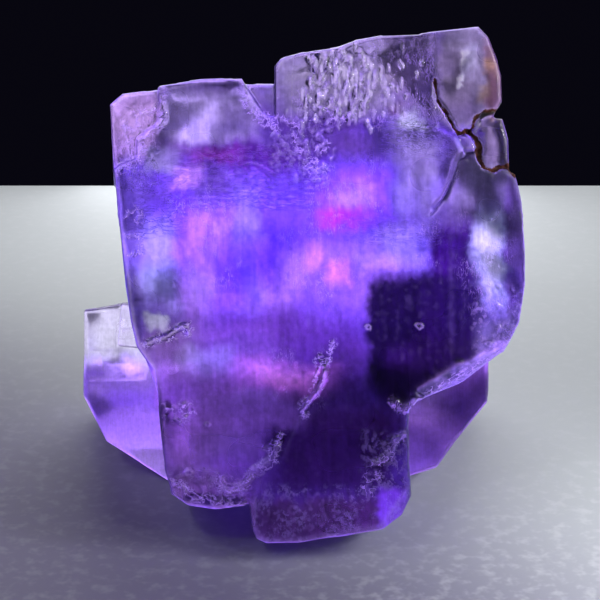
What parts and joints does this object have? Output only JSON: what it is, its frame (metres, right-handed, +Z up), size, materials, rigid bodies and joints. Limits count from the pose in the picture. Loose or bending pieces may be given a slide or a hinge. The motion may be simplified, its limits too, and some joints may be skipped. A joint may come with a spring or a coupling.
{
  "type": "fluorite crystal",
  "caption": "Intergrown cluster of clear violet fluorite cubes with a large leaning front face, growth seams and cracks, cut flat underneath to rest on a table.",
  "frame": {"origin": "centre of the bottom of the bounding box, on the flat cut that the cluster rests on", "axes": "+Z up, +Y from the large front face towards the back, +X to the right of the front face as seen from in front"},
  "size_m": [0.0336, 0.0324, 0.0352],
  "materials": {
    "fluorite": "clear violet crystal with glossy faces, frosted and rippled in patches, paler at the top"
  },
  "bodies": {
    "root": {"fluorite_cluster": "fluorite"}
  },
  "joints": []
}
